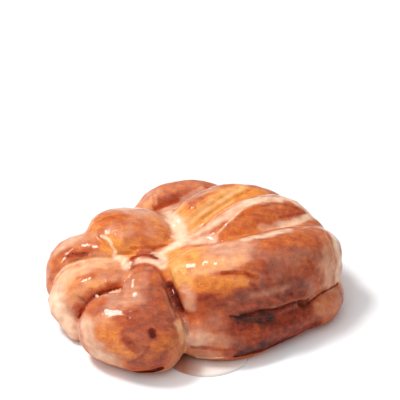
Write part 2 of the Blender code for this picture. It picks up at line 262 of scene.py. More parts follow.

# Patches of crust: kind, half width, strength, then their middle line as pixels of the photograph
# Some patches are painted shade, in the creases and along the undersides, as marked
PATCHES = {
    # The knob
    "knob_left": ("gold", 4.5, 0.9, [(93, 230), (96, 222), (102, 217)]),
    "knob_middle": ("salmon", 5.5, 0.9, [(112, 228), (124, 232), (132, 222)]),
    "knob_top": ("blush", 5.5, 0.9, [(116, 210), (130, 208), (146, 214)]),
    "knob_scorch": ("rust", 4.5, 0.9, [(103, 218), (113, 216), (122, 219)]),
    "knob_brown": ("rust", 3.5, 0.85, [(139, 224), (142, 237)]),
    "knob_foot": ("rust", 4.0, 0.95, [(138, 244), (146, 244), (152, 246)]),
    "knob_right": ("orange", 5.5, 0.85, [(158, 222), (164, 232), (162, 242)]),
    # The finger and the thumb on the left
    "finger_top": ("blush", 5.5, 0.8, [(66, 245), (78, 238), (92, 238)]),
    "finger_end": ("rose", 4.0, 0.7, [(53, 266), (58, 256)]),
    "finger_side": ("rose", 4.5, 0.9, [(48, 284), (52, 273), (58, 262)]),
    "finger_rust": ("rust", 2.4, 0.9, [(52, 270), (58, 261), (66, 256)]),
    "finger_root": ("rust", 3.5, 0.7, [(103, 236), (105, 245)]),
    "finger_low": ("rust", 4.0, 0.6, [(90, 246), (98, 248), (108, 252)]),
    # Painted shade in the hollow between the finger and the thumb
    "finger_hollow_shade": ("brick", 3.0, 1.0, [(64, 255), (75, 254), (87, 254)]),
    "thumb_top": ("cream", 6.0, 0.9, [(58, 290), (68, 275), (88, 264), (108, 263)]),
    "thumb_glow": ("peach", 4.5, 0.95, [(64, 297), (73, 297), (84, 290), (98, 282)]),
    "thumb_tip": ("blush", 3.0, 0.8, [(114, 264), (123, 270)]),
    "thumb_right": ("blush", 3.4, 0.8, [(106, 276), (118, 277)]),
    # Painted shade: the crease under the thumb's overhang, darkened in colour
    "thumb_below_shade": ("rust", 2.2, 0.9, [(120, 285), (108, 288), (95, 292), (86, 299)]),
    "thumb_crease": (
        "ember", 1.7, 1.0,
        [(122, 288), (114, 291), (100, 294), (90, 301), (82, 310), (78, 320)],
    ),
    "thumb_left": ("milky", 6.5, 0.95, [(54, 298), (60, 316), (68, 330)]),
    "knob_front": ("gold", 5.0, 1.0, [(112, 246), (122, 250), (132, 250)]),
    # The knob in front
    "front_knob_left": ("rust", 4.0, 0.9, [(85, 316), (89, 307), (99, 302)]),
    "front_knob_light": ("blush", 5.0, 0.9, [(104, 322), (112, 314), (122, 306)]),
    "front_knob_glow": ("blush", 3.0, 0.8, [(102, 320), (110, 318)]),
    "front_knob_ridge": ("blush", 2.6, 0.8, [(137, 292), (140, 300), (141, 308)]),
    "front_knob_middle": ("brick", 5.0, 0.95, [(122, 314), (130, 320), (138, 323)]),
    "front_knob_dark": ("ember", 5.0, 1.0, [(130, 323), (142, 319), (152, 320)]),
    "front_knob_high": ("umber", 5.0, 0.8, [(150, 290), (154, 300), (150, 310)]),
    "front_knob_low": ("honey", 7.0, 0.95, [(108, 334), (114, 345), (132, 355)]),
    "front_knob_pale": ("milky", 5.5, 0.8, [(87, 328), (89, 342), (98, 355), (114, 362)]),
    "front_knob_right": ("copper", 7.5, 1.0, [(168, 332), (168, 345), (158, 357)]),
    "front_knob_umber": ("umber", 7.0, 1.0, [(150, 314), (158, 316), (170, 318)]),
    "front_knob_corner": ("rust", 3.2, 0.9, [(168, 350), (170, 356), (162, 362)]),
    "front_knob_toe": ("ember", 4.0, 0.8, [(136, 366), (150, 366), (162, 360)]),
    "front_knob_haze": ("plum", 3.4, 0.6, [(132, 334), (143, 341), (143, 351)]),
    "front_knob_bruise": ("umber", 3.2, 0.8, [(127, 341), (131, 346)]),
    "front_knob_bit": ("char_and_shade", 2.4, 0.95, [(152, 332), (154, 335)]),
    # Brown crust with painted shade in the deep crease between the front knob and the front ridge
    "ridge_crease": ("ember", 4.4, 1.0, [(168, 278), (173, 289), (178, 300), (184, 310), (190, 320)]),
    # The ridge behind it
    "ridge_cap": ("ember", 2.2, 0.9, [(134, 257), (141, 252), (149, 253), (154, 258)]),
    "ridge_band": ("mauve", 3.2, 0.9, [(132, 269), (139, 264), (149, 265), (158, 270)]),
    "ridge_light": ("rose", 4.5, 0.85, [(138, 281), (147, 278)]),
    "ridge_side": ("brick", 4.5, 0.95, [(156, 276), (162, 288), (164, 300)]),
    "ridge_flank": ("umber", 3.5, 0.9, [(165, 284), (168, 296), (172, 310)]),
    # The finger along the back
    "back_finger_top": ("rose", 6.0, 0.9, [(158, 193), (168, 187), (182, 184), (208, 187)]),
    "back_finger_low": ("brick", 3.5, 0.9, [(178, 196), (192, 193), (206, 189)]),
    "back_finger_base": ("ember", 3.2, 0.95, [(155, 207), (163, 203), (175, 200)]),
    "back_finger_end": ("blush", 3.4, 0.9, [(144, 201), (149, 197), (155, 192)]),
    "back_finger_low_end": ("peach", 2.4, 1.0, [(147, 206), (152, 203)]),
    # The ridges at the back
    "back_ridge_left": ("gold", 6.5, 0.9, [(176, 214), (184, 224), (190, 234)]),
    "valley_floor": ("milky", 3.4, 0.65, [(166, 213), (175, 223), (181, 234)]),
    "back_ridge_inner": ("straw", 5.0, 0.95, [(192, 222), (206, 212), (222, 200), (240, 190)]),
    "back_ridge_orange": ("orange", 3.4, 0.95, [(204, 226), (222, 212), (236, 203), (250, 195), (262, 192)]),
    "middle_rim": (
        "milky", 2.8, 0.9,
        [(192, 235), (210, 225), (229, 212), (245, 203), (262, 198), (278, 199)],
    ),
    "middle_left": ("copper", 5.0, 1.0, [(222, 238), (234, 235), (248, 229), (264, 226)]),
    "middle_high": ("rust", 4.0, 0.9, [(240, 213), (252, 208), (262, 210)]),
    "middle_brown": ("rust", 5.0, 0.9, [(262, 216), (272, 214), (284, 214)]),
    "middle_right": ("brick", 4.0, 0.9, [(290, 209), (300, 214)]),
    # The front ridge
    "front_gold": ("gold", 7.0, 1.0, [(172, 264), (178, 253), (196, 251), (207, 255)]),
    "front_gold_face": ("straw", 5.0, 0.9, [(178, 270), (180, 280), (188, 284)]),
    "front_top": ("blush", 6.0, 0.9, [(214, 252), (230, 252), (242, 252)]),
    "front_top_right": ("blush", 4.5, 0.6, [(240, 250), (252, 250), (262, 246)]),
    "front_peach_low": ("peach", 4.0, 0.9, [(196, 271), (210, 266), (226, 265), (238, 261)]),
    "front_middle": ("mauve", 4.0, 0.8, [(256, 252), (262, 258), (268, 264)]),
    "front_scorch": ("brick", 3.0, 0.85, [(246, 268), (256, 267), (264, 269)]),
    "front_low_right": ("umber", 5.0, 0.85, [(268, 272), (278, 264), (286, 270)]),
    "front_face": ("mauve", 8.0, 0.95, [(282, 254), (300, 255), (314, 258)]),
    "front_high": ("rust", 5.0, 0.9, [(268, 244), (286, 241), (304, 238), (320, 242)]),
    "front_crest": ("milky", 2.6, 0.8, [(246, 239), (262, 235.5), (276, 232.5), (290, 230)]),
    "valley_right": ("milky", 2.6, 0.85, [(282, 225), (296, 220), (306, 217), (314, 216)]),
    "front_right": ("salmon", 5.0, 0.8, [(322, 268), (328, 276), (330, 284)]),
    "front_side": ("brick", 4.5, 0.85, [(308, 270), (316, 276), (322, 284)]),
    "side_low": ("mauve", 4.0, 0.8, [(302, 286), (310, 293)]),
    "right_rim": ("rose", 4.0, 0.8, [(322, 236), (330, 248), (333, 262), (333, 276)]),
    "wrinkle": ("rust", 1.6, 0.9, [(220, 275), (236, 275), (252, 278)]),
    "below_wrinkle": ("honey", 3.5, 0.95, [(200, 282), (220, 282), (240, 283)]),
    "front_band": ("amber", 4.5, 0.95, [(200, 291), (216, 292), (236, 293)]),
    "front_band_dark": ("ember", 4.2, 0.85, [(202, 302), (222, 303)]),
    "front_low": ("brick", 7.0, 0.9, [(193, 312), (200, 320), (214, 322)]),
    "front_left_light": ("blush", 3.0, 0.9, [(184, 288), (190, 298), (190, 306)]),
    # The low clumps
    "foot_right": ("rose", 6.0, 0.9, [(318, 306), (326, 298), (332, 304)]),
    "foot_middle": ("brick", 7.0, 0.8, [(236, 338), (254, 341), (280, 333), (304, 324)]),
    "foot_front": ("mauve", 5.0, 0.9, [(214, 322), (224, 327), (232, 336)]),
    "foot_left": ("rose", 4.0, 0.8, [(198, 332), (210, 338), (222, 343)]),
    "foot_seam": ("peach", 3.2, 1.0, [(182, 326), (184, 338)]),
    # Caramelised crust and painted shade under the lip's overhang
    "foot_caramel_and_shade": ("ember", 7.0, 1.0, [(240, 324), (252, 321), (268, 319), (286, 316), (300, 311)]),
    "foot_char": ("char_and_shade", 4.0, 1.0, [(242, 320), (254, 318), (268, 318)]),
    # Painted shade along the bottom edge, where the dough turns under towards the table
    "foot_edge_shade": ("ember", 4.5, 1.0, [(236, 350), (262, 346), (280, 339), (298, 332), (314, 325)]),
    "bottom_edge_shade": ("char_and_shade", 2.6, 1.0, [(238, 354), (256, 350), (274, 344), (292, 338), (308, 332)]),
    "flap_dark": ("umber", 4.2, 0.9, [(238, 298), (250, 292), (264, 287), (282, 284), (298, 285)]),
    "flap_over": ("lilac", 3.2, 0.85, [(254, 299), (266, 295), (282, 292)]),
    "flap": ("umber", 3.4, 1.0, [(230, 311), (246, 307), (262, 302), (284, 297), (302, 292)]),
}

# Marks in the crust with crisp edges, given as the patches are; some are painted shade
MARKS = {
    # Painted shade along the bottom of the crease under the thumb
    "thumb_crease": (
        "ember", 1.2, 0.9,
        [(121, 288), (114, 290), (100, 294), (90, 300), (83, 308), (79, 317)],
    ),
    # Painted shade deep in the hollow between the finger and the thumb
    "hollow": ("ember", 1.5, 0.6, [(68, 256), (78, 254), (86, 254)]),
    "tip_arc": ("ember", 1.5, 0.95, [(132, 259), (137, 256), (144, 254.5), (150, 255), (156, 258)]),
    "ridge_band": (
        "brick", 1.4, 0.6,
        [(131, 269), (137, 265), (146, 264), (155, 267), (161, 274), (164, 281)],
    ),
    # Painted shade with brown crust, deep in the crease beside the front knob
    "ridge_crease": ("char_and_shade", 2.2, 0.85, [(170, 284), (174, 293), (178, 301), (182, 309)]),
    "ridge_crease_low_shade": ("umber", 1.3, 0.4, [(182, 314), (186, 324), (188, 334)]),
    "wrinkle": ("brick", 1.3, 0.85, [(222, 273), (234, 272), (246, 274), (257, 277)]),
    "wrinkle_spots": ("ember", 1.2, 0.5, [(250, 283), (256, 288)]),
    # Painted shadow in the slit under the lip
    "lip_slit_shade": (
        "char_and_shade", 0.9, 0.65,
        [(230, 316), (241, 317), (250, 314), (262, 309), (281, 309), (297, 301), (308, 299)],
    ),
    "lobe_line": ("ember", 0.8, 0.9, [(338, 284), (330, 289), (322, 293), (314, 299), (309, 303)]),
    "flap_spots": ("char_and_shade", 1.3, 0.3, [(286, 291), (292, 294)]),
    "bit": ("char_and_shade", 2.0, 0.7, [(152, 331), (153, 335)]),
    "bit_side": ("umber", 2.4, 0.55, [(126, 340), (132, 346), (136, 351)]),
    "knob_low_crease": ("plum", 0.9, 0.5, [(148, 347), (144, 355), (136, 360), (128, 363)]),
    # Painted shade along the undersides next to the table
    "knob_under_shade": ("char_and_shade", 2.6, 1.0, [(122, 370), (135, 372), (150, 372), (160, 369)]),
    "foot_under_shade": (
        "char_and_shade", 1.8, 0.8,
        [(236, 356), (250, 354), (264, 350), (278, 343), (292, 340), (306, 334)],
    ),
    "foot_band": ("brick", 1.2, 0.7, [(192, 347), (206, 348), (220, 350), (232, 350)]),
    "middle_streak": ("umber", 1.2, 0.35, [(262, 206), (276, 203), (290, 205), (303, 212)]),
    "middle_streak_low": ("umber", 0.9, 0.6, [(280, 217), (292, 214), (306, 213)]),
    "middle_left_spots": ("rust", 1.4, 0.7, [(243, 214), (250, 209), (258, 207)]),
    "finger_specks": ("ember", 1.0, 0.3, [(152, 206), (156, 203), (153, 199)]),
    "back_finger_base": ("brick", 1.5, 0.9, [(155, 208), (163, 206), (170, 203), (178, 200)]),
    "knob_scorch": ("rust", 2.2, 0.7, [(106, 219), (114, 217), (121, 217)]),
    "knob_foot": ("brick", 1.2, 0.6, [(132, 248), (144, 248), (156, 248), (166, 245)]),
    "front_streak": ("umber", 1.3, 0.3, [(264, 262), (266, 272), (268, 278)]),
}

# Milky glaze: half width, strength, then its middle line as pixels of the photograph
GLAZE = {
    "valley_back": (3.8, 0.85, [(166, 212), (176, 221), (181, 231), (180, 241)]),
    "valley_centre": (2.8, 0.8, [(176, 244), (166, 250), (158, 256), (162, 266)]),
    "valley_left": (2.2, 0.85, [(116, 257), (124, 260), (126, 267)]),
    "knob_foot_line": (1.4, 0.8, [(156, 253), (164, 251), (172, 247)]),
    "ridge_tip": (2.4, 0.7, [(138, 262), (146, 260), (155, 263)]),
    "back_valley": (2.4, 0.4, [(164, 209), (172, 207.5), (179, 204), (186, 198), (194, 193), (203, 188.5)]),
    "back_rim": (2.0, 0.3, [(172, 213), (180, 209), (187, 202), (196, 197), (206, 192.5), (218, 188)]),
    "back_stripe": (1.6, 0.2, [(184, 224), (200, 211), (216, 202), (230, 193), (246, 186)]),
    "middle_band": (
        2.4, 0.5,
        [(186, 239), (200, 233), (214, 226), (231, 214), (247, 203), (262, 198), (280, 199)],
    ),
    "middle_rim_right": (2.2, 0.75, [(284, 198), (292, 201), (303, 208), (314, 217)]),
    "valley_wide": (3.0, 0.7, [(184, 242), (200, 240), (213, 238)]),
    "ridge_valley": (2.0, 0.4, [(262, 228), (276, 226), (292, 222), (308, 217)]),
    "ridge_crest": (2.0, 0.25, [(216, 246), (238, 241), (256, 236.5), (272, 233), (290, 229)]),
    "valley_bubble": (2.0, 0.5, [(260, 237), (270, 234.5), (280, 232)]),
    "front_top": (4.0, 0.12, [(206, 246), (226, 248), (240, 246)]),
    "knob_top": (3.0, 0.2, [(116, 211), (130, 210), (142, 212), (154, 216), (163, 222)]),
    "finger_top": (3.0, 0.45, [(58, 250), (66, 243), (80, 235)]),
    "thumb_top": (5.0, 0.2, [(56, 296), (60, 280), (74, 270), (92, 263)]),
    "thumb_side": (5.0, 0.6, [(55, 302), (62, 318), (72, 332)]),
    "front_knob_side": (5.0, 0.35, [(86, 326), (90, 344), (104, 360)]),
    "front_knob_light": (3.0, 0.15, [(106, 316), (116, 308), (136, 298)]),
    "crease_run": (1.8, 0.3, [(184, 318), (186, 326), (187, 334)]),
    "foot_run": (3.2, 0.35, [(184, 328), (187, 336), (196, 340), (206, 339)]),
    "foot_haze": (3.0, 0.08, [(206, 338), (224, 342), (244, 342)]),
    # Painted sheen: the pale edge of the right end's outline, where the wet glaze catches the light
    "right_rim": (2.8, 0.8, [(332, 234), (337, 246), (339, 262), (338, 282)]),
    "right_haze_and_sheen": (4.0, 0.3, [(326, 252), (330, 268), (328, 284)]),
}
# Thin lines of glaze with crisp edges, given as the milky glaze is; some are painted highlights and sheen
GLAZE_LINES_AND_HIGHLIGHTS = {
    # Painted highlights: glints of the light along the creases and the thumb's rim, painted milky white
    "knob_finger": (0.85, 0.95, [(101, 236), (107, 238), (111, 242), (113, 248), (116, 253)]),
    "thumb_crease": (0.8, 0.95, [(97, 295.8), (102, 294.9), (106, 293.4), (114, 291.9), (121, 289.9)]),
    "thumb_crease_end": (0.8, 0.9, [(132.5, 286.5), (133, 283), (133, 280)]),
    "thumb_rim": (0.8, 0.6, [(84, 261), (74, 263), (66, 267), (59, 273), (54, 282)]),
    "thumb_rim_low": (0.7, 0.5, [(66, 271), (60, 277), (57, 286), (56, 296)]),
    # Lines of milky glaze in the valleys and on the ridges
    "valley_edge": (0.8, 0.85, [(151, 253.5), (158, 253.5), (166, 252)]),
    "flank": (0.7, 0.2, [(163, 290), (169, 303), (174, 318), (178, 332)]),
    "flank_low": (0.7, 0.2, [(172, 303), (178, 316), (182, 330)]),
    "back_stripe_1": (0.8, 0.2, [(188, 226), (205, 211), (225, 198), (244, 188)]),
    "back_stripe_2": (0.8, 0.2, [(180, 219), (196, 205), (212, 196), (230, 189)]),
    # Painted sheen along the outline of the right end
    "right_rim": (0.8, 0.5, [(331, 232), (338, 250), (340, 268), (339, 282)]),
    "right_rim_in": (0.7, 0.35, [(322, 228), (331, 245), (334, 262)]),
    # Painted highlight along the puddle's edge on the dough
    "meniscus": (0.8, 0.7, [(183, 356), (196, 357.5), (210, 358), (222, 357.5)]),
    # Lines of milky glaze on the middle ridge
    "middle_rim_high": (0.7, 0.5, [(192, 231), (208, 221), (222, 211), (234, 205), (246, 200.5), (258, 198)]),
    "middle_rim_low": (0.8, 0.55, [(218, 233), (232, 219), (246, 206), (262, 201), (282, 202)]),
}
# How far these lines stand out, and how often a line is eased
LINE_RISE = 0.2
EASE_STEPS = 8
# Wrinkled glaze that glints: half width, strength, then its middle line as pixels of the photograph
GLINTS = {
    "knob": (3.6, 1.0, [(119, 234), (124, 240)]),
    "knob_high": (2.2, 0.8, [(106, 226), (113, 229)]),
    "front": (3.4, 1.0, [(177, 258), (178, 268), (182, 276)]),
    "thumb": (2.0, 0.9, [(105, 281), (116, 279)]),
    "back_finger": (2.6, 0.9, [(147, 203), (155, 197)]),
    "front_low": (2.0, 0.8, [(222, 286), (232, 284)]),
    "right": (2.4, 0.7, [(300, 275), (308, 272)]),
    "back_ridge": (1.6, 0.7, [(180, 228), (186, 231)]),
    "flap": (1.2, 0.6, [(226, 300), (229, 306)]),
    "bit": (1.2, 0.9, [(153, 333), (155, 336)]),
    "valley": (2.0, 0.6, [(244, 239), (256, 236), (270, 233)]),
}

# The edges of patches: how far and how finely they are shaken, and what share of that the edges of marks are
WARP = (1.2, 3.8)
MARK_WARP = 0.25
# How soft patches are and how far they spread
SOFTNESS = 0.95
SPREAD = 1.35
# At what closeness a patch starts and is full, and at what closeness a mark does
SOFT_EDGE = (-0.05, 0.95)
CRISP_EDGE = (0.1, 0.55)
# Flecks that break up the edges of patches: strength, size, then the size and share of finer ones
FLECKS = 0.14
FLECK_SIZE = 2.2
FINE_FLECKS = (1.1, 0.6)
# Thin glaze is nearly clear, so milkiness starts slowly: the power it is raised to
MILK_POWER = 1.5

# How glaze fills the valleys: steps of easing its direction and of filling, and how thick it gets in a valley
# where it is clear and where it is milky
GLAZE_EASE = 3
GLAZE_STEPS = 40
GLAZE_DEPTH = (0.25, 1.3)
# The share of it that stays on a wall, the least that stays anywhere, and how high up it is whole
GLAZE_WALL = 0.5
GLAZE_LEAST = 0.2
GLAZE_FOOT = 2

# The puddle of set glaze: the middle and half size of its oval, its thickness and how many sides it has
POOL_AT = (5.1, -36.85)
POOL_REACH = (15.3, 10)
POOL_THICKNESS = 1.4
POOL_SIDES = 160
# The waves of its outline: how many go round, where they start, and their height as a share of its reach
POOL_WAVES = [(3, 1.0, 0.02), (5, 2.5, 0.012)]
# How wide the low waves of its top are
POOL_WAVE_WIDTH = 6.25
# Its rounded edge as shares of reach and of thickness, then the shares of reach of the rings inside
POOL_EDGE = [(0.985, 0.0), (1.0, 0.12), (1.0, 0.28), (0.985, 0.5), (0.955, 0.7), (0.91, 0.86), (0.85, 0.95)]
POOL_INSIDE = (0.7, 0.55, 0.4, 0.25, 0.1)
# From where to where, from left to right, its brown left end, with its painted shade, turns white
POOL_BROWN_AND_SHADE = (-4, 4.5)

# Lights: place, size and power in watts
KEY_LIGHT = ((-335, 60, 668), 170, 3.8)
TOP_LIGHT = ((-250, -280, 920), 1200, 5.7)
# What they are aimed at, the strength of the white surroundings, and how far the floor reaches
LIT_SPOT = (0, 0, 15)
ROOM_LIGHT = 0.4
FLOOR_REACH = 3000


def linear(colour):
    """Linear red, green, blue and alpha of an sRGB hex colour."""
    parts = [int(colour[i : i + 2], 16) / 255 for i in (1, 3, 5)]
    return (*[p / 12.92 if p <= 0.04045 else ((p + 0.055) / 1.055) ** 2.4 for p in parts], 1.0)


def spine_at(points, share):
    """Catmull-Rom point of a spine, as x, y, z and radius, at a share of its length from 0 to 1."""
    points = np.array(points, float)
    ends = [2 * points[0] - points[1], *points, 2 * points[-1] - points[-2]]
    place = min(max(share, 0.0), 1.0) * (len(points) - 1)
    i = min(int(place), len(points) - 2)
    t = place - i
    a, b, c, d = ends[i : i + 4]
    return 0.5 * (2 * b + (c - a) * t + (2 * a - 5 * b + 4 * c - d) * t**2 + (3 * b - a - 3 * c + d) * t**3)


def tangent_at(points, share):
    """Direction of a spine at a share of its length. Past an end it is the end's own direction."""
    step = 0.02
    middle = min(max(share, step / 2), 1 - step / 2)
    run = spine_at(points, middle + step / 2) - spine_at(points, middle - step / 2)
    return Vector(run[:3]).normalized()


def add_clump(bm, height, points):
    """Adds one clump: a sphere whose axis is bent along the spine and whose ends stay plump."""
    made = bmesh.ops.create_uvsphere(bm, u_segments=SEGMENTS, v_segments=RINGS, radius=1.0)
    length = sum(math.dist(p[:3], q[:3]) for p, q in zip(points, points[1:]))
    for vert in made["verts"]:
        along = vert.co.z
        girth = (1 - min(1.0, abs(along)) ** PLUMPNESS) ** (1 / PLUMPNESS)
        flat = math.hypot(vert.co.x, vert.co.y)
        aside = (vert.co.x / flat, vert.co.y / flat) if flat > 1e-6 else (0.0, 0.0)
        end_radius = spine_at(points, 0.5 + along / 2)[3] + SOFTEN_LOSS
        share = 0.5 + along * (length / 2 + end_radius) / length
        beyond = (share - min(max(share, 0.0), 1.0)) * length
        here = spine_at(points, share)
        tangent = tangent_at(points, share)
        side = tangent.cross(Vector((0, 0, 1))).normalized()
        up = side.cross(tangent)
        offset = (side * aside[0] + up * aside[1] * height) * girth * (here[3] + SOFTEN_LOSS)
        vert.co = (Vector(here[:3]) + tangent * beyond + offset) * MM


def applied(obj):
    """Turns an object's modifiers into its mesh."""
    graph = bpy.context.evaluated_depsgraph_get()
    mesh = bpy.data.meshes.new_from_object(obj.evaluated_get(graph))
    obj.modifiers.clear()
    obj.data = mesh


def linked(name, bm):
    """Makes an object of a bmesh and adds it to the scene."""
    mesh = bpy.data.meshes.new(name)
    bm.to_mesh(mesh)
    bm.free()
    obj = bpy.data.objects.new(name, mesh)
    bpy.context.collection.objects.link(obj)
    return obj


def keep_outer_body(bm):
    """Leaves only the largest connected body, so that no sealed hollow or loose scrap stays."""
    left = set(bm.verts)
    bodies = []
    while left:
        body = {left.pop()}
        newest = set(body)
        while newest:
            newest = {edge.other_vert(vert) for vert in newest for edge in vert.link_edges} - body
            body |= newest
        left -= body
        bodies.append(body)
    bodies.sort(key=len)
    for body in bodies[:-1]:
        bmesh.ops.delete(bm, geom=list(body), context="VERTS")


def places_of(mesh):
    """A mesh's vertices in millimetres, one row each."""
    places = np.empty(len(mesh.vertices) * 3, np.float32)
    mesh.vertices.foreach_get("co", places)
    return places.reshape(-1, 3).astype(float) / MM


def move_to(mesh, places):
    """Puts a mesh's vertices at places in millimetres."""
    mesh.vertices.foreach_set("co", (places * MM).astype(np.float32).ravel())
    mesh.update()


def normals_of(mesh):
    """A mesh's vertex normals, one row each."""
    normals = np.empty(len(mesh.vertices) * 3, np.float32)
    mesh.vertices.foreach_get("normal", normals)
    return normals.reshape(-1, 3).astype(float)


def edges_of(mesh):
    """A mesh's edges as pairs of vertex numbers."""
    pairs = np.empty(len(mesh.edges) * 2, np.int32)
    mesh.edges.foreach_get("vertices", pairs)
    return pairs.reshape(-1, 2)


def neighbour_mean(values, pairs):
    """Mean of each vertex's neighbours."""
    count = len(values)
    first, second = pairs.T
    degree = np.bincount(first, minlength=count) + np.bincount(second, minlength=count)
    columns = values.reshape(count, -1).T
    totals = [
        np.bincount(first, column[second], count) + np.bincount(second, column[first], count)
        for column in columns
    ]
    return (np.array(totals) / np.maximum(degree, 1)).T.reshape(values.shape)


def lumps(places, size, seed):
    """Smooth random field from -1 to 1 whose lumps are about a size in millimetres."""
    cells = 48
    grid = np.random.default_rng(seed).uniform(-1, 1, (cells, cells, cells))
    spot = places / size + cells
    base = np.floor(spot).astype(int)
    t = spot - base
    t = t * t * (3 - 2 * t)
    total = np.zeros(len(places))
    for corner in itertools.product((0, 1), repeat=3):
        weight = np.prod(np.where(corner, t, 1 - t), axis=1)
        i = (base + corner) % cells
        total += weight * grid[i[:, 0], i[:, 1], i[:, 2]]
    return total


def camera_axes():
    """The camera's right, up and forward directions."""
    forward = np.subtract(CAMERA_AIM, CAMERA_AT)
    forward = forward / np.linalg.norm(forward)
    right = np.cross(forward, (0, 0, 1))
    right = right / np.linalg.norm(right)
    return right, np.cross(right, forward), forward


def sight_line(pixel):
    """Direction from the camera through a pixel."""
    right, up, forward = camera_axes()
    reach = LENS / SENSOR * PICTURE
    across = (pixel[0] - PICTURE / 2) / reach
    down = (pixel[1] - PICTURE / 2) / reach
    return Vector(forward + across * right - down * up).normalized()


def path_on(tree, pixels):
    """Points on a surface, in millimetres, about every two pixels along a line through the given pixels."""
    path = []
    for start, end in zip(pixels, pixels[1:]):
        steps = max(1, round(math.dist(start, end) / 2))
        for i in range(steps + 1):
            pixel = np.add(start, np.subtract(end, start) * i / steps)
            hit = tree.ray_cast(Vector(CAMERA_AT) * MM, sight_line(pixel))[0]
            if hit:
                path.append(np.array(hit) / MM)
    return np.array(path)


def line_on(tree, pixels):
    """A path on a surface, eased so that it runs smoothly seen from any side."""
    path = path_on(tree, pixels)
    for _ in range(EASE_STEPS):
        eased = path.copy()
        eased[1:-1] = (path[:-2] + 2 * path[1:-1] + path[2:]) / 4
        path = np.array([np.array(tree.find_nearest(Vector(point * MM))[0]) / MM for point in eased])
    return path


def closeness(places, path, half_width):
    """1 on a path, falling smoothly to 0 at its half width."""
    near = np.all((places > path.min(0) - half_width) & (places < path.max(0) + half_width), axis=1)
    spots = places[near]
    best = np.full(len(spots), np.inf)
    for start, end in zip(path, path[1:]):
        run = end - start
        share = np.clip((spots - start) @ run / max(run @ run, 1e-9), 0, 1)
        best = np.minimum(best, np.linalg.norm(spots - start - share[:, None] * run, axis=1))
    result = np.zeros(len(places))
    result[near] = np.clip(1 - (best / half_width) ** 2, 0, 1) ** 2
    return result


def fused_clumps():
    """The clumps of dough, fused into one fine mesh and softened where they meet."""
    bm = bmesh.new()
    for height, points in CLUMPS.values():
        add_clump(bm, height, points)
    dough = linked("dough", bm)
    fuse = dough.modifiers.new("fuse", "REMESH")
    fuse.mode = "VOXEL"
    fuse.voxel_size = FUSE_VOXEL * MM
    soften = dough.modifiers.new("soften", "SMOOTH")
    soften.factor = 0.5
    soften.iterations = SOFTEN_STEPS
    applied(dough)
    dough.data.transform(Matrix.Translation((-MIDDLE[0] * MM, -MIDDLE[1] * MM, 0)))
    return dough


def rest_flat(mesh):
    """Cuts the dough at the table and closes the cut."""
    bm = bmesh.new()
    bm.from_mesh(mesh)
    geometry = bm.verts[:] + bm.edges[:] + bm.faces[:]
    table = {"plane_co": (0, 0, 0), "plane_no": (0, 0, -1)}
    bmesh.ops.bisect_plane(bm, geom=geometry, dist=1e-6, clear_outer=True, **table)
    keep_outer_body(bm)
    bmesh.ops.holes_fill(bm, edges=[edge for edge in bm.edges if edge.is_boundary])
    bmesh.ops.triangulate(bm, faces=[face for face in bm.faces if len(face.verts) > 4])
    bmesh.ops.recalc_face_normals(bm, faces=bm.faces[:])
    bm.to_mesh(mesh)
    bm.free()


def tree_of(mesh):
    """A search tree of a mesh's faces, for sight lines."""
    bm = bmesh.new()
    bm.from_mesh(mesh)
    tree = BVHTree.FromBMesh(bm)
    bm.free()
    return tree


def carve(mesh, tree):
    """Presses the folds in, raises the ridges and breaks the smooth clumps up with low lumps."""
    places = places_of(mesh)
    normals = normals_of(mesh)
    height = np.zeros(len(places))
    for half_width, rise, pixels in RELIEF.values():
        height += rise * closeness(places, path_on(tree, pixels), half_width)
    for i, (size, rise) in enumerate(LUMPS):
        height += rise * lumps(places, size, SEED + i)
    height *= np.clip(places[:, 2] / RELIEF_FOOT, 0, 1)
    move_to(mesh, places + normals * height[:, None])


def fill_valleys(mesh, milk):
    """Lets glaze fill the valleys, most where it is milky and the surface is level."""
    pairs = edges_of(mesh)
    bare = places_of(mesh)
    places = bare.copy()
    normals = normals_of(mesh)
    for _ in range(GLAZE_EASE):
        normals = neighbour_mean(normals, pairs)
    normals /= np.linalg.norm(normals, axis=1)[:, None]
    clear, milky = GLAZE_DEPTH
    stays = np.clip(GLAZE_WALL + normals[:, 2], GLAZE_LEAST, 1)
    most = (clear + (milky - clear) * milk) * stays * np.clip(bare[:, 2] / GLAZE_FOOT, 0, 1)
    for _ in range(GLAZE_STEPS):
        rise = np.sum((neighbour_mean(places, pairs) - places) * normals, axis=1)
        depth = np.sum((places - bare) * normals, axis=1)
        rise = np.clip(rise, 0, np.maximum(most - depth, 0))
        places += normals * rise[:, None]
    move_to(mesh, places)


def store(mesh, name, values):
    """Keeps a number for each vertex as an attribute that materials read."""
    attribute = mesh.attributes.new(name, "FLOAT", "POINT")
    attribute.data.foreach_set("value", values.astype(np.float32))


def warped(places):
    """Places shaken a little, so that what is painted by distance gets an uneven edge."""
    reach, size = WARP
    shake = [lumps(places, size, SEED + 20 + i) for i in range(3)]
    return places + reach * np.array(shake).T


def smooth_step(values, low, high):
    """0 below the low value, 1 above the high one and smooth between them."""
    share = np.clip((values - low) / (high - low), 0, 1)
    return share * share * (3 - 2 * share)


def soft_share(places, flecks, path, half_width):
    """How much of a patch there is at each place: soft, with an edge that flecks break up."""
    near = closeness(places, path, SPREAD * half_width) ** SOFTNESS
    return smooth_step(near + FLECKS * flecks * (near > 0), *SOFT_EDGE)


def crisp_share(places, path, half_width):
    """How much of a mark there is at each place: all of it, up to a crisp edge."""
    return smooth_step(closeness(places, path, half_width), *CRISP_EDGE)


def valleys(mesh):
    """How deep in a valley each vertex lies, from 0 to 1."""
    pairs = edges_of(mesh)
    places = places_of(mesh)
    eased = places
    for _ in range(VALLEY_STEPS):
        eased = neighbour_mean(eased, pairs)
    return smooth_step(np.sum((eased - places) * normals_of(mesh), axis=1), *VALLEY_DEPTH)


